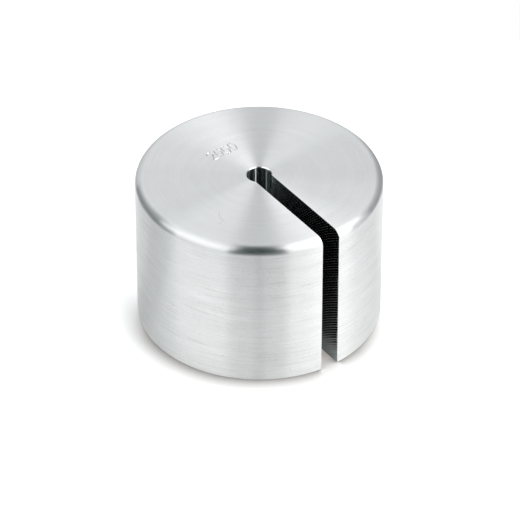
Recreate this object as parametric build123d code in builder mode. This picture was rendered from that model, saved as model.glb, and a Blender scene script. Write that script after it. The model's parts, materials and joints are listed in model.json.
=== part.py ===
from build123d import *

import os

# Slotted calibration weight: one turned steel block with a bore on its axis
# and a slot from the rim to the bore, so that it drops sideways onto a hanger's rod.
# Millimetres. +Z is up the bore, the origin is on the bore's axis at the underside,
# and the slot opens towards -Y.

os.makedirs("parts", exist_ok=True)

# Turned block
body_diameter = 80.0
body_height = 52.6
top_edge_radius = 2.9       # large round that the form tool leaves at the top rim
bottom_edge_break = 0.4     # small flat that takes the corner off the bottom rim

# Bore for the hanger's rod
bore_diameter = 8.0
bore_edge_break = 0.25

# Slot for passing the rod in from the side
slot_width = 6.2
slot_edge_radius = 0.2      # deburred corner along both walls of the slot

body_radius = body_diameter / 2
bore_radius = bore_diameter / 2

with BuildPart() as weight_body:
    # Half section of the turned block, from the bore's wall out to the rim
    with BuildSketch(Plane.XZ) as half_section:
        with Locations((bore_radius, 0)):
            Rectangle(body_radius - bore_radius, body_height, align=(Align.MIN, Align.MIN))
        bore_corners = half_section.vertices().group_by(Axis.X)[0]
        chamfer(bore_corners, length=bore_edge_break)
        bottom_corner = half_section.vertices().group_by(Axis.X)[-1].sort_by(Axis.Y)[0]
        chamfer(bottom_corner, length=bottom_edge_break)
        top_corner = half_section.vertices().group_by(Axis.X)[-1].sort_by(Axis.Y)[-1]
        fillet(top_corner, radius=top_edge_radius)
    revolve(axis=Axis.Z)

    # Slot from the bore's axis out through the rim
    with BuildSketch(Plane.XY):
        Rectangle(slot_width, body_diameter, align=(Align.CENTER, Align.MAX))
    extrude(amount=body_height, mode=Mode.SUBTRACT)

    # Deburred corners: every edge of the two slot walls that the saw left sharp
    slot_walls = weight_body.faces().filter_by(Axis.X)
    sharp_edges = [
        edge
        for wall in slot_walls
        for edge in wall.edges()
        if edge.center().Y < -bore_diameter
    ]
    fillet(sharp_edges, radius=slot_edge_radius)

weight_body.part.label = "weight_body"
export_step(weight_body.part, "parts/weight_body.step")
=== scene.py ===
import json
from math import cos, pi, radians, sin

import bpy
import numpy as np
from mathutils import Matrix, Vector

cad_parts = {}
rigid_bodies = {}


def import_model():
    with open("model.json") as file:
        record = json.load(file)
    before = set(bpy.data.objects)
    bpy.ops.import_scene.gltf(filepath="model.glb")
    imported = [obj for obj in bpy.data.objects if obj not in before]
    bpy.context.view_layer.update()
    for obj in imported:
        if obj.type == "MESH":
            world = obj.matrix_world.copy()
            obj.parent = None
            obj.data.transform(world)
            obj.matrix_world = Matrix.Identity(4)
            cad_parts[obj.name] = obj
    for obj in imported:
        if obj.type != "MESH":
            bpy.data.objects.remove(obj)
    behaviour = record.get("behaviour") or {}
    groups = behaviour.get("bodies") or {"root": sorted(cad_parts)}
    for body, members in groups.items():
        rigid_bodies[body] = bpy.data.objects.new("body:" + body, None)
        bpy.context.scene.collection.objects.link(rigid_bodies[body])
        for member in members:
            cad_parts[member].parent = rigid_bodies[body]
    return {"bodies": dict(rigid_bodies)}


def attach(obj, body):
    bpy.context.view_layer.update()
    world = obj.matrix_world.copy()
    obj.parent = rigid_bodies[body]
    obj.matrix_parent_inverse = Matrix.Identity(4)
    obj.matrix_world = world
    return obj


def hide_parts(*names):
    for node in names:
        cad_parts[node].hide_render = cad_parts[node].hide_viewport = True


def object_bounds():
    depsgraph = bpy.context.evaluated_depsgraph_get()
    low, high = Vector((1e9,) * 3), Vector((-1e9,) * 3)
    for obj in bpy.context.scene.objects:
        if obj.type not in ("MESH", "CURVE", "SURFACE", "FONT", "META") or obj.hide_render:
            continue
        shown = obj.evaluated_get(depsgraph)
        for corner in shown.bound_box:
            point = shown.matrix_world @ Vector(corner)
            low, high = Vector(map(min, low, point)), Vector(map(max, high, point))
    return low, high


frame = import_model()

cadLow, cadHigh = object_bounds()
print("frame loaded")

# The weight, in metres. The block's radius and height come from the frame.
weight = {
    "radius": min(cadHigh.x, cadHigh.y),
    "height": cadHigh.z,
    "topRound": 0.0029,
    "bottomBreak": 0.0004,
    "boreRadius": 0.004,
    "boreBreak": 0.00025,
    "slotWidth": 0.0062,
    "slotEdgeRound": 0.0002,
    "coarseTurn": radians(1.13),   # steps of the turned surfaces
    "coarseStep": 0.002,
    "roundSteps": 16,
    "edgeSteps": 4,
}

# Marks that the slitting saw left on the slot's walls
sawMarks = {
    "sawRadius": 0.076,
    "sawReach": 0.0025,      # how near the bore's axis the saw came
    "feed": 0.001005,        # rise of the saw from one mark to the next
    "depth": 0.00012,
    "sharpness": 3,          # how narrow the crests between the marks are
    "unevenness": 0.35,
    "wobble": (12.9898, 4.1, 3),
    "crowding": (0.25, 0.4),  # where the marks fade as they crowd together, as a start and a span
    "footHeight": 0.0095,    # the marks fade towards the foot below this height
    "footShare": 0.35,
    "phases": (0.0, 0.05, 0.12, 0.22, 0.5, 0.78, 0.88, 0.95),
    "samplesAlong": 22,
    "probes": 400,
    "halvings": 24,
    "plainMargin": 0.00025,  # unmarked strip inside the rounded edges
}

# Plain number punched into the top, digit by digit
stamp = {
    "text": "2000",
    "centre": (-0.0026, 0.0172),
    "tilt": radians(5),
    "digitSize": (0.0020, 0.0042),
    "pitch": 0.00285,
    "lean": (3.0, -2.0, 1.5, -3.5),              # degrees that each punch was off
    "drop": (0.0, 0.00012, -0.0001, 0.00015),
    "strike": (1.0, 0.75, 0.9, 0.7),             # how hard each punch was struck
    "depth": 0.00021,
    "strokeWidth": 0.00048,
    "zoneRadii": (0.0146, 0.0213),
    "zoneAngles": (radians(78.5), radians(119)),
    "fineStep": 0.00013,
}

finishNames = [
    "punchedMark", "turnedFace", "turnedRound", "turnedSide", "cutEdge", "drilledBore", "sawnWall",
]
samePlace = 1e-8     # points nearer than this count as one
weldStep = 2e-7      # points that round to the same place in these steps are joined


# The block's half section as stretches, from the foot of the bore up, out over the top, down the
# side and back underneath. Each is (finish, radii, heights, outward normals), with the normal
# 90 degrees to the left of the way that the stretch runs.
def turnedStretches(w, t):
    bore, rim, top = w["boreRadius"], w["radius"], w["height"]
    boreBreak, bottomBreak, roundSize = w["boreBreak"], w["bottomBreak"], w["topRound"]

    def line(finish, start, end, shares):
        share = np.asarray(shares)[:, None]
        points = np.array(start) * (1 - share) + np.array(end) * share
        run = np.array(end) - np.array(start)
        normal = np.array([-run[1], run[0]]) / np.hypot(*run)
        return finish, points[:, 0], points[:, 1], np.tile(normal, (len(share), 1))

    angle = np.linspace(pi / 2, 0, w["roundSteps"] + 1)
    roundNormals = np.stack([np.cos(angle), np.sin(angle)], -1)
    overRound = (
        "turnedRound",
        rim - roundSize + roundSize * np.cos(angle),
        top - roundSize + roundSize * np.sin(angle),
        roundNormals,
    )
    stops = (bore + boreBreak, *t["zoneRadii"], rim - roundSize)
    radii = joinedSteps(stops, (w["coarseStep"], t["fineStep"], w["coarseStep"]))
    topShares = (radii - radii[0]) / (radii[-1] - radii[0])
    few, some = np.linspace(0, 1, 3), np.linspace(0, 1, 5)
    return [
        line("drilledBore", (bore, boreBreak), (bore, top - boreBreak), some),
        line("cutEdge", (bore, top - boreBreak), (bore + boreBreak, top), few),
        line("turnedFace", (bore + boreBreak, top), (rim - roundSize, top), topShares),
        overRound,
        line("turnedSide", (rim, top - roundSize), (rim, bottomBreak), some),
        line("cutEdge", (rim, bottomBreak), (rim - bottomBreak, 0), few),
        line("turnedFace", (rim - bottomBreak, 0), (bore + boreBreak, 0), some),
        line("cutEdge", (bore + boreBreak, 0), (bore, boreBreak), few),
    ]


# Even steps between each pair of stops, no longer than the step given for that pair.
def joinedSteps(stops, steps):
    runs = [np.linspace(a, b, int(np.ceil((b - a) / step)) + 1)[:-1]
            for a, b, step in zip(stops, stops[1:], steps)]
    return np.concatenate(runs + [[stops[-1]]])


# Two triangles for each cell of a grid of vertices, row by row.
def gridFaces(rows, columns):
    corner = np.arange(rows * columns).reshape(rows, columns)[:-1, :-1].ravel()
    right, below, across = corner + 1, corner + columns, corner + columns + 1
    return np.concatenate([np.stack([corner, below, across], -1), np.stack([corner, across, right], -1)])


# The middle line of a punched digit in a box 1 wide and 1 tall, as points: a 0 is an ellipse, and
# a 2 is an arc over the top, a curve down to the left foot and a straight foot.
def digitStrokes(digit):
    if digit == "0":
        t = np.linspace(0, 2 * pi, 33)
        return np.stack([0.5 + 0.5 * np.cos(t), 0.5 + 0.5 * np.sin(t)], -1)
    t = np.radians(np.linspace(165, -25, 15))
    hook = np.stack([0.5 + 0.5 * np.cos(t), 0.74 + 0.26 * np.sin(t)], -1)
    return np.concatenate([hook, [[0.0, 0.0], [1.0, 0.0]]])


# How deep the punched number goes at points (x, y): depth * (1 - 2 * distance / strokeWidth) from
# the nearest stroke's middle line, and nothing further out.
def stampCut(t, x, y):
    cut = np.zeros_like(x)
    wide, tall = t["digitSize"]
    for place, digit in enumerate(t["text"]):
        line = (digitStrokes(digit) - 0.5) * (wide, tall)
        lean = radians(t["lean"][place])
        line = line @ np.array([[cos(lean), sin(lean)], [-sin(lean), cos(lean)]])
        line += ((place - (len(t["text"]) - 1) / 2) * t["pitch"], t["drop"][place])
        line = line @ np.array([[cos(t["tilt"]), sin(t["tilt"])], [-sin(t["tilt"]), cos(t["tilt"])]])
        line += t["centre"]
        start, run = line[:-1], np.diff(line, axis=0)
        awayX, awayY = x[..., None] - start[:, 0], y[..., None] - start[:, 1]
        share = np.clip((awayX * run[:, 0] + awayY * run[:, 1]) / (run**2).sum(1), 0, 1)
        distance = np.hypot(awayX - share * run[:, 0], awayY - share * run[:, 1]).min(-1)
        groove = t["depth"] * t["strike"][place] * np.clip(1 - 2 * distance / t["strokeWidth"], 0, 1)
        cut = np.maximum(cut, groove)
    return cut


# Sinks the number into the top. The normal comes from the slopes of the cut, (slope x, slope y, 1).
def punch(t, points, normals):
    x, y = points[..., 0], points[..., 1]
    step = t["fineStep"] / 4
    points[..., 2] -= stampCut(t, x, y)
    normals[..., 0] = (stampCut(t, x + step, y) - stampCut(t, x - step, y)) / (2 * step)
    normals[..., 1] = (stampCut(t, x, y + step) - stampCut(t, x, y - step)) / (2 * step)


# A stretch of the half section turned about Z. At radius r it runs from one slot wall to the
# other: the angle goes from -90 degrees plus asin(gap / r) round to 270 degrees minus the same.
# The steps are finer where the number is punched.
def sweptPatch(w, t, stretch):
    finish, r, z, normal = stretch
    gap = w["slotWidth"] / 2 + w["slotEdgeRound"]
    first, last = t["zoneAngles"]
    fine = t["fineStep"] / np.mean(t["zoneRadii"])
    turns = joinedSteps((-pi / 2, first, last, 1.5 * pi), (w["coarseTurn"], fine, w["coarseTurn"]))
    share = (turns[None, :] + pi / 2) / (2 * pi)
    off = np.arcsin(gap / r)[:, None]
    angle = -pi / 2 + off + share * (2 * pi - 2 * off)
    across, along = np.cos(angle), np.sin(angle)
    height = np.broadcast_to(z[:, None], angle.shape)
    points = np.stack([r[:, None] * across, r[:, None] * along, height], -1)
    up = np.broadcast_to(normal[:, 1:2], angle.shape)
    normals = np.stack([normal[:, :1] * across, normal[:, :1] * along, up], -1)
    if finish == "turnedFace" and z[0] > 0:
        rows = (r > t["zoneRadii"][0]) & (r < t["zoneRadii"][1])
        columns = (turns > first) & (turns < last)
        zone = np.ix_(rows, columns)
        zonePoints, zoneNormals = points[zone], normals[zone]
        punch(t, zonePoints, zoneNormals)
        points[zone], normals[zone] = zonePoints, zoneNormals
    points, normals, faces = points.reshape(-1, 3), normals.reshape(-1, 3), gridFaces(*angle.shape)
    punched = (points[faces, 2].min(1) < z.min() - 1e-6) & (finish == "turnedFace")
    return [(finish, points, normals, faces[~punched]), ("punchedMark", points, normals, faces[punched])]


# For each stretch, the way that its points move when the outline is set in by 1: the outward
# normal n, and at a corner between two stretches the mitre (n1 + n2) / (1 + n1 . n2).
def insetWays(stretches):
    ways = [normal.copy() for _, _, _, normal in stretches]
    for before, after in zip(ways, ways[1:] + ways[:1]):
        mitre = (before[-1] + after[0]) / (1 + before[-1] @ after[0])
        before[-1] = after[0] = mitre
    return ways


# The rounded corner between the turned surface and a slot wall: a quadratic curve from the
# turned surface to the wall, whose middle control point is the sharp corner.
def edgePatch(w, stretch, way, side):
    _, r, z, normal = stretch
    halfWidth, size = w["slotWidth"] / 2, w["slotEdgeRound"]
    outer = np.stack([np.full_like(r, halfWidth + size), -np.sqrt(r**2 - (halfWidth + size) ** 2), z], -1)
    corner = np.stack([np.full_like(r, halfWidth), -np.sqrt(r**2 - halfWidth**2), z], -1)
    inner = corner - size * np.stack([np.zeros_like(r), -way[:, 0], way[:, 1]], -1)
    t = np.linspace(0, 1, w["edgeSteps"] + 1)[None, :, None]
    points = (1 - t) ** 2 * outer[:, None] + 2 * t * (1 - t) * corner[:, None] + t**2 * inner[:, None]
    radial = outer[:, :2] / np.linalg.norm(outer[:, :2], axis=1, keepdims=True)
    turned = np.concatenate([radial * normal[:, :1], normal[:, 1:]], -1)
    wall = np.tile([-1.0, 0.0, 0.0], (len(r), 1))
    normals = (1 - t) * turned[:, None] + t * wall[:, None]
    mirror = np.array([side, 1, 1])
    shape = points.shape[:2]
    return "cutEdge", points.reshape(-1, 3) * mirror, normals.reshape(-1, 3) * mirror, gridFaces(*shape)


# A slot wall's outline inside its rounded edges, as points (depth, height), where the depth is
# sqrt(r^2 - halfWidth^2).
def wallOutline(w, stretches, ways):
    r, z = (np.concatenate([s[part] for s in stretches]) for part in (1, 2))
    depth = np.sqrt(r**2 - (w["slotWidth"] / 2) ** 2)
    points = np.stack([depth, z], -1) - w["slotEdgeRound"] * np.concatenate(ways)
    apart = np.linalg.norm(points - np.roll(points, 1, axis=0), axis=1) > samePlace
    return points[apart]


# The outline of the saw marks: a rectangle (depth, height) inside the wall, clockwise from its
# inner low corner, whose top outer corner is an arc.
def markedOutline(w, m):
    inset = w["slotEdgeRound"] + m["plainMargin"]
    halfWidth = w["slotWidth"] / 2
    inner = np.sqrt(w["boreRadius"] ** 2 - halfWidth**2) + inset
    outer = np.sqrt(w["radius"] ** 2 - halfWidth**2) - inset
    high, arc = w["height"] - inset, w["topRound"] - inset
    angle = np.linspace(pi / 2, 0, w["roundSteps"] + 1)
    overRound = np.stack([outer - arc + arc * np.cos(angle), high - arc + arc * np.sin(angle)], -1)
    return np.concatenate([[[inner, inset], [inner, high]], overRound, [[outer, inset]]])


# Height of the saw's edge above its centre at a depth into the wall: the circle
# sqrt(sawRadius^2 - (depth - centre)^2).
def sawPath(m, depth):
    centre = m["sawRadius"] + m["sawReach"]
    return np.sqrt(np.maximum(m["sawRadius"] ** 2 - (depth - centre) ** 2, 1e-12))


# How deep the marks go: depth * (1 - |2 * phase - 1|^sharpness) for each feed step, shallower where
# the marks crowd together and uneven from mark to mark.
def sawCut(m, depth, height):
    count = (height - sawPath(m, depth)) / m["feed"]
    number, phase = np.floor(count + 1e-6), count % 1.0
    quick, slow, sway = m["wobble"]
    uneven = 1 - m["unevenness"] * (0.5 + 0.5 * np.sin(number * quick + np.sin(number * slow) * sway))
    start, span = m["crowding"]
    fade = np.clip((sawPath(m, depth) / m["sawRadius"] - start) / span, 0, 1)
    foot = m["footShare"] + (1 - m["footShare"]) * np.clip(height / m["footHeight"], 0, 1)
    return m["depth"] * uneven * fade * foot * (1 - np.abs(2 * phase - 1) ** m["sharpness"])


# Points and normals of a slot wall, its marks cut into the metal. The normal comes from the
# slopes of the marks over a small part of a mark either way.
def wallPoints(w, m, depth, height, side, marked=True):
    step = m["feed"] / 40
    cut = sawCut(m, depth, height)
    slopeDepth = (sawCut(m, depth + step, height) - sawCut(m, depth - step, height)) / (2 * step)
    slopeHeight = (sawCut(m, depth, height + step) - sawCut(m, depth, height - step)) / (2 * step)
    if not marked:
        cut, slopeDepth, slopeHeight = cut * 0, slopeDepth * 0, slopeHeight * 0
    points = np.stack([w["slotWidth"] / 2 + cut, -depth, height], -1)
    normals = np.stack([-np.ones_like(cut), -slopeDepth, slopeHeight], -1)
    mirror = np.array([side, 1, 1])
    return points * mirror, normals * mirror


# Which points lie inside the convex outline, by the side of every edge that they lie on.
def insideOutline(outline, depth, height):
    start, run = outline, np.roll(outline, -1, axis=0) - outline
    inside = np.ones(depth.shape, bool)
    for (x, y), (dx, dy) in zip(start, run):
        inside &= (dx * (height - y) - dy * (depth - x)) <= 1e-12
    return inside


# Depths at which lines of the saw's path cross the outline: the step between the last probe inside
# and its neighbour outside is halved until it is negligible.
def crossing(m, outline, lines, probe, index, way):
    near = probe[index]
    far = probe[np.clip(index + way, 0, probe.size - 1)]
    for _ in range(m["halvings"]):
        half = (near + far) / 2
        inside = insideOutline(outline, half, lines + sawPath(m, half))
        near, far = np.where(inside, half, near), np.where(inside, far, half)
    return near


# The marked part of a wall: a grid whose rows follow the saw's path, each row cut off where it
# meets the outline, and the loop of its border vertices.
def markedWall(w, m, side):
    outline = markedOutline(w, m)
    offset = outline[:, 1] - sawPath(m, outline[:, 0])
    low, high = offset.min(), offset.max()
    marks = np.arange(np.floor(low / m["feed"]), np.ceil(high / m["feed"]))
    lines = ((marks[:, None] + np.array(m["phases"])) * m["feed"]).ravel()
    lines = np.concatenate([[low], lines[(lines > low) & (lines < high)], [high]])[:, None]
    lineCount = len(lines)
    probe = np.linspace(outline[:, 0].min(), outline[:, 0].max(), m["probes"])[None, :]
    probes = np.broadcast_to(probe, (lineCount, probe.size))
    inside = insideOutline(outline, probes, lines + sawPath(m, probe))
    some = inside.any(1)
    firstInside = np.where(some, inside.argmax(1), 0)
    lastInside = np.where(some, probe.size - 1 - inside[:, ::-1].argmax(1), 0)
    first = crossing(m, outline, lines[:, 0], probe[0], firstInside, -1)
    last = crossing(m, outline, lines[:, 0], probe[0], lastInside, 1)
    first[0] = last[0] = outline[offset.argmin(), 0]
    first[-1] = last[-1] = outline[offset.argmax(), 0]
    share = np.linspace(0, 1, m["samplesAlong"])[None, :]
    depth = first[:, None] * (1 - share) + last[:, None] * share
    height = lines + sawPath(m, depth)
    points, normals = wallPoints(w, m, depth, height, side)
    columns = m["samplesAlong"]
    numbers = np.arange(lineCount * columns).reshape(lineCount, columns)
    border = np.concatenate([numbers[:, 0], numbers[::-1, -1]])
    return "sawnWall", points.reshape(-1, 3), normals.reshape(-1, 3), gridFaces(lineCount, columns), border


# Triangles between two closed loops of points (depth, height) about a centre. The vertices are
# taken in the order of their angle, and each one makes a triangle with the last of either loop.
def joinLoops(outer, inner, centre):
    angles = [np.arctan2(p[:, 1] - centre[1], p[:, 0] - centre[0]) for p in (outer, inner)]
    orders = [np.argsort(a) for a in angles]
    merged = np.argsort(np.concatenate([angles[0][orders[0]], angles[1][orders[1]]]), kind="stable")
    fromOuter = merged < len(outer)
    outerSeen, innerSeen = np.cumsum(fromOuter), np.cumsum(~fromOuter)
    outerNow = orders[0][(outerSeen - 1) % len(outer)]
    innerNow = orders[1][(innerSeen - 1) % len(inner)] + len(outer)
    outerLast, innerLast = np.roll(outerNow, 1), np.roll(innerNow, 1)
    newest = np.where(fromOuter, outerNow, innerNow)
    return np.stack([outerLast, innerLast, newest], -1)


# Every patch of the weight's surface, as (finish, points, normals, triangles).
def weightPatches(w, m, t):
    stretches = turnedStretches(w, t)
    ways = insetWays(stretches)
    outline = wallOutline(w, stretches, ways)
    centre = (w["radius"] / 2, w["height"] / 2)
    patches = [patch for s in stretches for patch in sweptPatch(w, t, s)]
    for side in (1, -1):
        patches += [edgePatch(w, s, way, side) for s, way in zip(stretches, ways)]
        finish, points, normals, faces, border = markedWall(w, m, side)
        patches.append((finish, points, normals, faces))
        edge, edgeNormals = points[border], normals[border]
        apart = np.linalg.norm(edge - np.roll(edge, 1, axis=0), axis=1) > samePlace
        edge, edgeNormals = edge[apart], edgeNormals[apart]
        rim, rimNormals = wallPoints(w, m, outline[:, 0], outline[:, 1], side, marked=False)
        strip = joinLoops(outline, np.stack([-edge[:, 1], edge[:, 2]], -1), centre)
        stripPoints, stripNormals = np.concatenate([rim, edge]), np.concatenate([rimNormals, edgeNormals])
        patches.append((finish, stripPoints, stripNormals, strip))
    return patches


# One closed mesh from the patches: equal points are joined, triangles that shrink to a line are
# dropped, every patch is turned to face along its normals, and keeps them.
def weldedMesh(name, patches):
    counts = np.cumsum([0] + [len(p[1]) for p in patches])
    points = np.concatenate([p[1] for p in patches])
    normals = np.concatenate([p[2] for p in patches])
    normals /= np.linalg.norm(normals, axis=1, keepdims=True)
    faces = np.concatenate([p[3] + c for p, c in zip(patches, counts)])
    patch = np.repeat(np.arange(len(patches)), [len(p[3]) for p in patches])
    finish = np.array([finishNames.index(p[0]) for p in patches])[patch]
    _, firstOf, joined = np.unique(np.round(points / weldStep).astype(np.int64), axis=0,
                                   return_index=True, return_inverse=True)
    joined = joined.ravel()
    welded = joined[faces]
    real = (welded[:, 0] != welded[:, 1]) & (welded[:, 1] != welded[:, 2]) & (welded[:, 2] != welded[:, 0])
    faces, welded, finish, patch = faces[real], welded[real], finish[real], patch[real]
    corners = points[firstOf][welded]
    facing = np.cross(corners[:, 1] - corners[:, 0], corners[:, 2] - corners[:, 0])
    agrees = (facing * normals[faces].sum(1)).sum(1)
    wrong = np.bincount(patch, weights=agrees)[patch] < 0
    faces[wrong], welded[wrong] = faces[wrong][:, ::-1], welded[wrong][:, ::-1]

    mesh = bpy.data.meshes.new(name)
    mesh.vertices.add(len(firstOf))
    mesh.vertices.foreach_set("co", points[firstOf].astype(np.float32).ravel())
    mesh.loops.add(welded.size)
    mesh.loops.foreach_set("vertex_index", welded.astype(np.int32).ravel())
    mesh.polygons.add(len(welded))
    mesh.polygons.foreach_set("loop_start", np.arange(0, welded.size, 3, dtype=np.int32))
    mesh.polygons.foreach_set("material_index", finish.astype(np.int32))
    mesh.update(calc_edges=True)
    mesh.polygons.foreach_set("use_smooth", np.ones(len(welded), bool))
    mesh.normals_split_custom_set(normals[faces].reshape(-1, 3).tolist())
    return mesh


# Steel and its finishes. Each pattern of lines round the block is (size across in metres, size along
# in radians, strength). The marks, which are pits and scores, add the level of the noise above which
# one shows.
steel = {
    "colour": (0.744, 0.75, 0.75, 1),
    "turnedFace": {
        "roughness": 0.31, "anisotropy": 1.0, "across": "radius", "lineHeight": 0.000003,
        "fine": (0.00042, 0.5, 0.135), "bands": (0.0024, 1.2, 0.1), "grain": (0.0003, 0.03, 0.1),
        "marks": ((0.0003, 0.03, 0.16, 0.77),),
        "scratches": (
            {"centre": (-0.0175, -0.0135), "arcRadius": 0.0059, "middle": (-0.0232, -0.012),
             "length": 0.0062, "width": 0.0003, "strength": 0.35},
            {"centre": (-0.0255, -0.0300), "arcRadius": 0.0155, "middle": (-0.0251, -0.0145),
             "length": 0.0022, "width": 0.0003, "strength": 0.3},
        ),
    },
    "turnedRound": {
        "roughness": 0.3, "anisotropy": 1.0, "across": "round", "lineHeight": 0.000002,
        "fine": (0.00042, 0.5, 0.08), "bands": (0.0022, 1.2, 0.04), "grain": (0.0003, 0.02, 0.06),
        "marks": ((0.0003, 0.012, 0.1, 0.78),),
    },
    "turnedSide": {
        "roughness": 0.34, "anisotropy": 0.97, "across": "height", "lineHeight": 0.000003,
        "fine": (0.00055, 0.3, 0.23), "bands": (0.0026, 0.6, 0.15), "grain": (0.0003, 0.02, 0.17),
        "marks": ((0.0003, 0.022, 0.2, 0.76), (0.0005, 0.35, 0.09, 0.68)),
        "scuffs": (
            {"centre": (-0.0227, -0.0329, 0.0395), "reach": 0.012, "size": 0.0024, "strength": 0.11},
            {"centre": (-0.0320, -0.0240, 0.0250), "reach": 0.009, "size": 0.0040, "strength": 0.07},
        ),
    },
    "smudges": (0.007, 0.07),
    "detail": {"fine": 3.0, "bands": 2.0, "grain": 1.0},
    "markEdge": 0.08,
    "hairline": 0.02,
    "glossSpread": 0.06,
    "punchedMark": {"roughness": 0.22, "anisotropy": 0.0},
    "cutEdge": {"roughness": 0.2, "anisotropy": 0.0},
    # The bore is coloured darker and bluer than the steel: painted shade inside the bore.
    "drilledBore": {"colour": (0.6, 0.65, 0.66, 1), "roughness": 0.19, "anisotropy": 0.5},
    # Painted light on the sawn walls: the groove colour is painted shade, the crest colour a painted
    # highlight, and the foot colour a painted reflection of the floor that lightens the grooves low down.
    "sawnWall": {
        "roughness": 0.24, "anisotropy": 0.0, "crestDepth": 0.00009,
        "groove": (0.02, 0.024, 0.025, 1), "crestHighlight": (0.75, 0.78, 0.78, 1), "foot": (0.26, 0.305, 0.305, 1),
        "mouthPlaces": (-0.033, -0.0395), "topStart": 0.041, "footHeight": 0.0095,
        # Shares of the painted crest highlight: deep inside the slot, at the top and at the foot.
        "inner": 0.12, "topCrestHighlight": 0.8, "footCrestHighlight": 0.35,
    },
}


# Adds a node. Values that are not sockets are set as properties.
def node(tree, kind, **values):
    made = tree.nodes.new(kind)
    for key, value in values.items():
        if key in made.inputs:
            made.inputs[key].default_value = value
        else:
            setattr(made, key, value)
    return made


# Links a socket to another one, or sets it to a value.
def give(tree, socket, value):
    if isinstance(value, bpy.types.NodeSocket):
        tree.links.new(value, socket)
    else:
        socket.default_value = value


# The result of a vector operation on vectors or sockets
def measured(tree, operation, *values):
    made = node(tree, "ShaderNodeVectorMath", operation=operation)
    for socket, value in zip(made.inputs, values):
        give(tree, socket, value)
    return made.outputs["Value" if operation in ("LENGTH", "DISTANCE", "DOT_PRODUCT") else "Vector"]


# A vector times a number
def scaled(tree, vector, scale):
    made = node(tree, "ShaderNodeVectorMath", operation="SCALE")
    give(tree, made.inputs[0], vector)
    give(tree, made.inputs["Scale"], scale)
    return made.outputs["Vector"]


# The result of a sum on numbers or sockets
def joined(tree, operation, *values):
    made = node(tree, "ShaderNodeMath", operation=operation)
    for socket, value in zip(made.inputs, values):
        give(tree, socket, value)
    return made.outputs[0]


# A value carried from one range to another and held at its ends
def ranged(tree, value, source, target):
    made = node(tree, "ShaderNodeMapRange")
    made.inputs["From Min"].default_value, made.inputs["From Max"].default_value = source
    made.inputs["To Min"].default_value, made.inputs["To Max"].default_value = target
    tree.links.new(value, made.inputs["Value"])
    return made.outputs[0]


# The first colour where the factor is 0, the second where it is 1
def blended(tree, factor, first, second):
    made = node(tree, "ShaderNodeMix", data_type="RGBA")
    give(tree, made.inputs["A"], first)
    give(tree, made.inputs["B"], second)
    give(tree, made.inputs["Factor"], factor)
    return made.outputs["Result"]


# Noise over a vector, from 0 to 1
def noiseField(tree, vector, scale, detail, roughness=0.6):
    noise = node(tree, "ShaderNodeTexNoise", Scale=scale, Detail=detail, Roughness=roughness)
    tree.links.new(vector, noise.inputs["Vector"])
    return noise.outputs["Fac"]


# A steel material: its tree, its shader, its Object coordinates and the parts of these. The tangent
# runs round Z, (-y, x, 0), and is turned by a quarter so that gloss spreads across the lines.
def startSteel(name, finish):
    material = bpy.data.materials.new(name)
    material.use_nodes = True
    tree = material.node_tree
    shader = tree.nodes["Principled BSDF"]
    shader.inputs["Base Color"].default_value = finish.get("colour", steel["colour"])
    shader.inputs["Metallic"].default_value = 1.0
    shader.inputs["Roughness"].default_value = finish["roughness"]
    shader.inputs["Anisotropic"].default_value = finish["anisotropy"]
    shader.inputs["Anisotropic Rotation"].default_value = 0.25
    place = node(tree, "ShaderNodeTexCoord").outputs["Object"]
    split = node(tree, "ShaderNodeSeparateXYZ")
    tree.links.new(place, split.inputs[0])
    tangent = node(tree, "ShaderNodeCombineXYZ")
    tree.links.new(joined(tree, "MULTIPLY", split.outputs["Y"], -1), tangent.inputs["X"])
    tree.links.new(split.outputs["X"], tangent.inputs["Y"])
    tree.links.new(tangent.outputs[0], shader.inputs["Tangent"])
    return material, tree, shader, place, split.outputs


# Noise in lines round the block, over (x / r / turn, y / r / turn, d / size): d is the radius on
# the top, the height on the side, and the radius less the height on the round between them.
def aroundField(tree, place, parts, across, size, turn, detail):
    flat = measured(tree, "MULTIPLY", place, (1, 1, 0))
    radius, height = measured(tree, "LENGTH", flat), parts["Z"]
    distance = {"radius": radius, "height": height, "round": joined(tree, "SUBTRACT", radius, height)}
    lift = node(tree, "ShaderNodeCombineXYZ")
    tree.links.new(distance[across], lift.inputs["Z"])
    stretch = scaled(tree, measured(tree, "NORMALIZE", flat), 1 / turn)
    lines = measured(tree, "MULTIPLY_ADD", lift.outputs[0], (1, 1, 1 / size), stretch)
    return noiseField(tree, lines, 1.0, detail)


# The colour times 1 + strength * (field - middle)
def shade(tree, colour, field, strength, middle=0.5):
    level = joined(tree, "MULTIPLY_ADD", field, strength, 1 - strength * middle)
    return scaled(tree, colour[:3] if isinstance(colour, tuple) else colour, level)


# A fine curved scratch, as 1 along an arc that ends at a distance from its middle, and 0 elsewhere
def scratchMask(tree, place, s):
    fromCentre = measured(tree, "DISTANCE", place, (*s["centre"], weight["height"]))
    away = joined(tree, "ABSOLUTE", joined(tree, "SUBTRACT", fromCentre, s["arcRadius"]))
    line = ranged(tree, away, (s["width"] / 2, 0), (0, 1))
    fromMiddle = measured(tree, "DISTANCE", place, (*s["middle"], weight["height"]))
    ends = ranged(tree, fromMiddle, (s["length"] / 2, s["length"] / 3), (0, 1))
    return joined(tree, "MULTIPLY", line, ends)


# A patch of hairlines, where a noise passes its middle: |noise - 0.5| near 0
def scuffMask(tree, place, s):
    noise = noiseField(tree, place, 1 / s["size"], 2.0, roughness=0.5)
    away = joined(tree, "ABSOLUTE", joined(tree, "SUBTRACT", noise, 0.5))
    near = ranged(tree, measured(tree, "DISTANCE", place, s["centre"]), (s["reach"], s["reach"] / 3), (0, 1))
    return joined(tree, "MULTIPLY", ranged(tree, away, (steel["hairline"], 0), (0, 1)), near)


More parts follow.
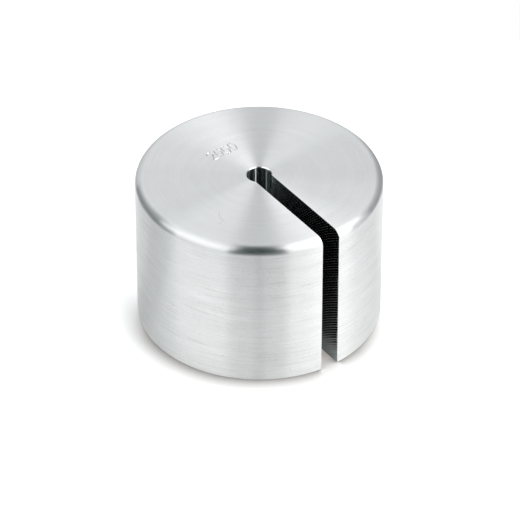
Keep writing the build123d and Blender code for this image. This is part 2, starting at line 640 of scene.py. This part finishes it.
# Tool lines, grain, marks, smudges, scratches and scuffs in the colour, and the lines again in the
# gloss and the relief
def turnedLines(tree, place, parts, shader, finish):
    across, colour, fields = finish["across"], steel["colour"], {}
    for pattern, detail in steel["detail"].items():
        size, turn, strength = finish[pattern]
        fields[pattern] = aroundField(tree, place, parts, across, size, turn, detail)
        colour = shade(tree, colour, fields[pattern], strength)
    for size, turn, strength, level in finish["marks"]:
        field = aroundField(tree, place, parts, across, size, turn, 0.0)
        mark = ranged(tree, field, (level, level + steel["markEdge"]), (0, 1))
        colour = shade(tree, colour, mark, -strength, 0)
    for scuff in finish.get("scuffs", ()):
        colour = shade(tree, colour, scuffMask(tree, place, scuff), -scuff["strength"], 0)
    size, strength = steel["smudges"]
    colour = shade(tree, colour, noiseField(tree, place, 1 / size, 2.0), strength)
    for scratch in finish.get("scratches", ()):
        colour = shade(tree, colour, scratchMask(tree, place, scratch), -scratch["strength"], 0)
    tree.links.new(colour, shader.inputs["Base Color"])
    spread = steel["glossSpread"]
    gloss = joined(tree, "MULTIPLY_ADD", fields["fine"], spread, finish["roughness"] - spread / 2)
    tree.links.new(gloss, shader.inputs["Roughness"])
    bump = node(tree, "ShaderNodeBump", Strength=1.0, Distance=finish["lineHeight"])
    tree.links.new(fields["fine"], bump.inputs["Height"])
    tree.links.new(bump.outputs[0], shader.inputs["Normal"])


# Painted shade and highlight on a slot wall, by the depth |x| of the wall beyond half the slot's width:
# the grooves are painted dark for shade, and the crests between them get a painted highlight near the
# slot's mouth and the top, little of it deep inside and less at the foot. Low down the grooves are
# painted lighter, a painted reflection of the floor.
def sawnPaintedLight(tree, parts, shader, finish):
    height, inner = parts["Z"], finish["inner"]
    start = weight["slotWidth"] / 2
    sunk = joined(tree, "ABSOLUTE", parts["X"])
    # Painted shade: 1 in the grooves, where they take the dark colour, 0 on the crests
    groove = ranged(tree, sunk, (start, start + finish["crestDepth"]), (0, 1))
    # Painted highlight on the crests, strongest at the mouth and the top, weaker at the foot
    mouthHighlight = ranged(tree, parts["Y"], finish["mouthPlaces"], (inner, 1))
    topHighlight = ranged(tree, height, (finish["topStart"], weight["height"]), (inner, finish["topCrestHighlight"]))
    highlightAboveFoot = ranged(tree, height, (0, finish["footHeight"]), (finish["footCrestHighlight"], 1))
    near = joined(tree, "MULTIPLY", joined(tree, "MAXIMUM", mouthHighlight, topHighlight), highlightAboveFoot)
    # Painted reflection of the floor: the grooves grow lighter towards the foot
    footFloorReflection = ranged(tree, height, (finish["footHeight"], 0), (0, 1))
    dark = blended(tree, footFloorReflection, finish["groove"], finish["foot"])
    crestHighlight = blended(tree, near, dark, finish["crestHighlight"])
    tree.links.new(blended(tree, groove, crestHighlight, dark), shader.inputs["Base Color"])


# One material for each finish, by name
def makeFinishes():
    materials = {}
    for name in finishNames:
        finish = steel[name]
        material, tree, shader, place, parts = startSteel(name, finish)
        if "across" in finish:
            turnedLines(tree, place, parts, shader, finish)
        if "crestHighlight" in finish:
            sawnPaintedLight(tree, parts, shader, finish)
        materials[name] = material
    return materials


finishes = makeFinishes()
print("finishes made")

weightMesh = weldedMesh("slottedWeight", weightPatches(weight, sawMarks, stamp))
for name in finishNames:
    weightMesh.materials.append(finishes[name])
slottedWeight = bpy.data.objects.new("slottedWeight", weightMesh)
bpy.context.scene.collection.objects.link(slottedWeight)
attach(slottedWeight, list(frame["bodies"])[0])
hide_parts("weight_body")
print("weight made:", len(weightMesh.polygons), "triangles")

camera = {
    "azimuth": -34.58,
    "elevation": 37.05,
    "distance": 1.1728,
    "lens": 249.8,
    "shiftX": 0.0016,
    "shiftY": -0.0388,
}


# Unit vector towards an azimuth and elevation: (sin a cos e, -cos a cos e, sin e).
def direction(azimuth, elevation):
    a, e = radians(azimuth), radians(elevation)
    return Vector((sin(a) * cos(e), -cos(a) * cos(e), sin(e)))


# Turns a thing so that its -Z points at the target.
def aim(thing, target):
    thing.rotation_euler = (target - thing.location).to_track_quat("-Z", "Y").to_euler()


middle = Vector((0, 0, weight["height"] / 2))
cameraData = bpy.data.cameras.new("camera")
cameraData.lens = camera["lens"]
cameraData.sensor_width = 36
cameraData.shift_x, cameraData.shift_y = camera["shiftX"], camera["shiftY"]
cameraData.clip_end = 100
cameraObject = bpy.data.objects.new("camera", cameraData)
cameraObject.location = middle + camera["distance"] * direction(camera["azimuth"], camera["elevation"])
aim(cameraObject, middle)
bpy.context.scene.collection.objects.link(cameraObject)
bpy.context.scene.camera = cameraObject
print("camera set")

# Studio: curved soft boxes by azimuth from the camera (degrees, positive to the right) and elevation
studio = {
    "distance": 1.35,
    "boxSteps": 8,
    "dark": (0.02, 0.043, 0.043, 1),   # what shows between the boxes
    "boxes": {
        "leftBox": {"azimuth": (-97, -25), "elevation": (34, 64), "level": 1.7, "tint": "warm"},
        "leftTopBox": {"azimuth": (-97, -27), "elevation": (64, 78), "level": 0.85, "tint": "warm"},
        "leftLowBox": {"azimuth": (-74, -26), "elevation": (-6, 34), "level": 1.2, "tint": "cool"},
        "leftFarBox": {"azimuth": (-97, -74), "elevation": (18, 34), "level": 1.85, "tint": "cold"},
        "frontRightBox": {"azimuth": (24, 46), "elevation": (-6, 50), "level": 1.5, "tint": "warm"},
        "rightLowBox": {"azimuth": (46, 84), "elevation": (-6, 34), "level": 2.2, "tint": "warm"},
        "rightBox": {"azimuth": (46, 84), "elevation": (34, 64), "level": 3.4, "tint": "warm"},
        "frontTopBox": {"azimuth": (26, 46), "elevation": (50, 78), "level": 1.85, "tint": "warm"},
        "rightTopBox": {"azimuth": (46, 84), "elevation": (64, 78), "level": 1.95, "tint": "warm"},
        "rightFarBox": {"azimuth": (84, 98), "elevation": (34, 78), "level": 2.4, "tint": "cool"},
        "rightFanBox": {"azimuth": (98, 112), "elevation": (34, 50), "level": 3.2, "tint": "cool"},
        "rightFarTopBox": {"azimuth": (98, 112), "elevation": (50, 78), "level": 2.4, "tint": "cool"},
        "rightFarLowBox": {"azimuth": (84, 107), "elevation": (-6, 34), "level": 0.85, "tint": "cool"},
        "backRightBox": {"azimuth": (112, 142), "elevation": (34, 78), "level": 0.9, "tint": "cool"},
        "backMiddleBox": {"azimuth": (142, 176), "elevation": (34, 78), "level": 1.16, "tint": "cool"},
        "backRightLowBox": {"azimuth": (107, 164), "elevation": (-6, 34), "level": 0.42, "tint": "cool"},
        "backBox": {"azimuth": (176, 224), "elevation": (34, 78), "level": 1.11, "tint": "cool"},
        "backLowBox": {"azimuth": (164, 224), "elevation": (-6, 34), "level": 0.79, "tint": "cool"},
        "backLeftBox": {"azimuth": (224, 263), "elevation": (50, 78), "level": 1.05, "tint": "cold"},
        "backLeftMidBox": {"azimuth": (224, 263), "elevation": (20, 50), "level": 0.45, "tint": "cold"},
        "backLeftLowBox": {"azimuth": (224, 263), "elevation": (-6, 20), "level": 0.2, "tint": "cold"},
    },
    "tints": {"warm": (1, 1, 1, 1), "cool": (0.985, 1, 1.012, 1), "cold": (0.955, 1, 1.018, 1)},
}


# The floor, a white disc. A turn is a pair of cosines of the angle from a side of the weight.
floorDisc = {
    "radius": 0.18,
    "rings": 4,
    "turnSteps": 96,
    "colour": (0.86, 0.86, 0.855, 1),
    "lift": 0.5,                     # glow for the camera alone
    "contact": {                     # shade right against the weight
        "colour": (0.263, 0.253, 0.246, 1),
        "reach": 0.0096,
        "samples": 16,
        "power": 1.25,
        "full": 0.42,                # closeness at which the shade is full
        "azimuth": -39.5,            # the side where it is deepest
        "turn": (-0.1, 0.55),
        "least": 0.12,
    },
    "slot": {                        # what differs on the floor of the slot
        "shade": 0.35,               # how much of the contact shade it takes
        "shadeRadii": (0.036, 0.043),
        "shadeSides": (0.003, 0.0042),
        # Painted shade: a warm, darker tint over the floor in the slot.
        "warmShade": (1.0, 0.92, 0.87, 1),
        "warmShadeRadii": (0.041, 0.033),
    },
    "gloss": (0.2, 0.43),            # glow for reflections, near the weight and at the floor's rim
    "glossRadii": (0.06, 0.14),
    "glossBehind": 0.4,              # added behind the weight
    "behindTurn": (-0.35, -0.75),
    "sectors": (                     # less gloss there: sine of the half angle at either edge
        {"azimuth": 0, "edge": (0.09, 0.03), "strength": 0.45},
        {"azimuth": -87, "edge": (0.28, 0.18), "strength": 0.6},
    ),
    "sectorTurn": (0.4, 0.6),
}


# A matt material of one colour
def plainMaterial(name, colour):
    material = bpy.data.materials.new(name)
    material.use_nodes = True
    shader = material.node_tree.nodes["Principled BSDF"]
    shader.inputs["Base Color"].default_value = colour
    shader.inputs["Roughness"].default_value = 1.0
    shader.inputs["Specular IOR Level"].default_value = 0.0
    return material


# A black material that glows
def panelMaterial(name, level, tint):
    material = plainMaterial(name, (0, 0, 0, 1))
    shader = material.node_tree.nodes["Principled BSDF"]
    shader.inputs["Emission Color"].default_value = tint
    shader.inputs["Emission Strength"].default_value = level
    return material


# A glowing panel curved about the weight, over a grid of azimuth a and elevation e: each point is
# distance * (sin a cos e, -cos a cos e, sin e).
def softBox(name, box, s):
    azimuths = np.radians(camera["azimuth"] + np.linspace(*box["azimuth"], s["boxSteps"] + 1))
    elevations = np.radians(np.linspace(*box["elevation"], s["boxSteps"] + 1))
    a, e = np.meshgrid(azimuths, elevations)
    points = s["distance"] * np.stack([np.sin(a) * np.cos(e), -np.cos(a) * np.cos(e), np.sin(e)], -1)
    mesh = bpy.data.meshes.new(name)
    mesh.from_pydata((points.reshape(-1, 3) + np.array(middle)).tolist(), [], gridFaces(*a.shape).tolist())
    mesh.materials.append(panelMaterial(name, box["level"], s["tints"][box["tint"]]))
    made = bpy.data.objects.new(name, mesh)
    made.visible_camera = False
    bpy.context.scene.collection.objects.link(made)


# 1 over the floor, less in a sector about an azimuth from the camera. How far a point is off the
# middle of the sector is |n . s|, n being its direction and s a unit vector square to that azimuth.
def sectorShade(tree, unit, sector):
    azimuth = camera["azimuth"] + sector["azimuth"]
    off = joined(tree, "ABSOLUTE", measured(tree, "DOT_PRODUCT", unit, direction(azimuth + 90, 0)))
    strip = ranged(tree, off, sector["edge"], (0, sector["strength"]))
    cosine = measured(tree, "DOT_PRODUCT", unit, direction(azimuth, 0))
    near = ranged(tree, cosine, floorDisc["sectorTurn"], (0, 1))
    return joined(tree, "SUBTRACT", 1.0, joined(tree, "MULTIPLY", strip, near))


# The floor's white, shaded where the weight stands close: closeness = (1 - openness)^power. It glows
# a little for the camera and for reflections alone, so that it runs out to white and still takes a
# shadow.
def floorMaterial(f):
    contact, slot = f["contact"], f["slot"]
    material = plainMaterial("floorWhite", f["colour"])
    tree = material.node_tree
    shader = tree.nodes["Principled BSDF"]
    rays = node(tree, "ShaderNodeLightPath").outputs
    place = node(tree, "ShaderNodeTexCoord").outputs["Object"]
    radius, unit = measured(tree, "LENGTH", place), measured(tree, "NORMALIZE", place)
    ahead = measured(tree, "DOT_PRODUCT", unit, direction(contact["azimuth"], 0))

    around = node(tree, "ShaderNodeAmbientOcclusion", samples=contact["samples"])
    around.inputs["Distance"].default_value = contact["reach"]
    closed = joined(tree, "SUBTRACT", 1.0, around.outputs["AO"])
    closeness = joined(tree, "POWER", closed, contact["power"])
    deep = joined(tree, "MULTIPLY", closeness, ranged(tree, ahead, contact["turn"], (contact["least"], 1)))
    sideways = joined(tree, "ABSOLUTE", measured(tree, "DOT_PRODUCT", place, (1, 0, 0)))
    pastMouth = ranged(tree, radius, slot["shadeRadii"], (slot["shade"], 1))
    outside = joined(tree, "MAXIMUM", pastMouth, ranged(tree, sideways, slot["shadeSides"], (0, 1)))
    seen = joined(tree, "MULTIPLY", outside, rays["Is Camera Ray"])
    shadow = node(tree, "ShaderNodeValToRGB")
    light, dark = shadow.color_ramp.elements
    light.position, light.color = 0.0, f["colour"]
    dark.position, dark.color = contact["full"], contact["colour"]
    tree.links.new(joined(tree, "MULTIPLY", deep, seen), shadow.inputs["Fac"])
    # Painted shade: the floor in the slot is tinted warm and darker
    warmShade = blended(tree, ranged(tree, radius, slot["warmShadeRadii"], (0, 1)), (1, 1, 1, 1), slot["warmShade"])
    colour = measured(tree, "MULTIPLY", shadow.outputs["Color"], warmShade)
    tree.links.new(colour, shader.inputs["Base Color"])

    spread = ranged(tree, radius, f["glossRadii"], f["gloss"])
    for sector in f["sectors"]:
        spread = joined(tree, "MULTIPLY", spread, sectorShade(tree, unit, sector))
    behind = ranged(tree, ahead, f["behindTurn"], (0, f["glossBehind"]))
    forGloss = joined(tree, "MULTIPLY", joined(tree, "ADD", spread, behind), rays["Is Glossy Ray"])
    forCamera = scaled(tree, colour, joined(tree, "MULTIPLY", rays["Is Camera Ray"], f["lift"]))
    tree.links.new(measured(tree, "ADD", forCamera, forGloss), shader.inputs["Emission Color"])
    shader.inputs["Emission Strength"].default_value = 1.0
    return material


# The disc under the weight, as rings of points radius * (cos t, sin t, 0)
def makeFloor(f):
    turn = np.linspace(0, 2 * pi, f["turnSteps"] + 1)[:-1]
    radii = np.linspace(0, f["radius"], f["rings"] + 1)[1:]
    circle = np.stack([np.cos(turn), np.sin(turn), 0 * turn], -1)
    points = np.concatenate([r * circle for r in radii])
    ring = np.arange(len(turn))
    following = np.roll(ring, -1)
    strip = np.stack([ring, ring + len(turn), following + len(turn), following], -1)
    strips = np.concatenate([strip + len(turn) * k for k in range(len(radii) - 1)])
    mesh = bpy.data.meshes.new("floor")
    mesh.from_pydata(points.tolist(), [], [ring.tolist()] + strips.tolist())
    mesh.materials.append(floorMaterial(f))
    made = bpy.data.objects.new("floor", mesh)
    bpy.context.scene.collection.objects.link(made)


# White to the camera, and plain dark to everything else
def makeWorld(s):
    world = bpy.data.worlds.new("studioWorld")
    bpy.context.scene.world = world
    world.use_nodes = True
    tree = world.node_tree
    rays = node(tree, "ShaderNodeLightPath").outputs
    colour = blended(tree, rays["Is Camera Ray"], s["dark"], (1, 1, 1, 1))
    tree.links.new(colour, tree.nodes["Background"].inputs["Color"])


for name, box in studio["boxes"].items():
    softBox(name, box, studio)
makeFloor(floorDisc)
makeWorld(studio)
bpy.context.scene.view_settings.view_transform = "Standard"
print("studio set")
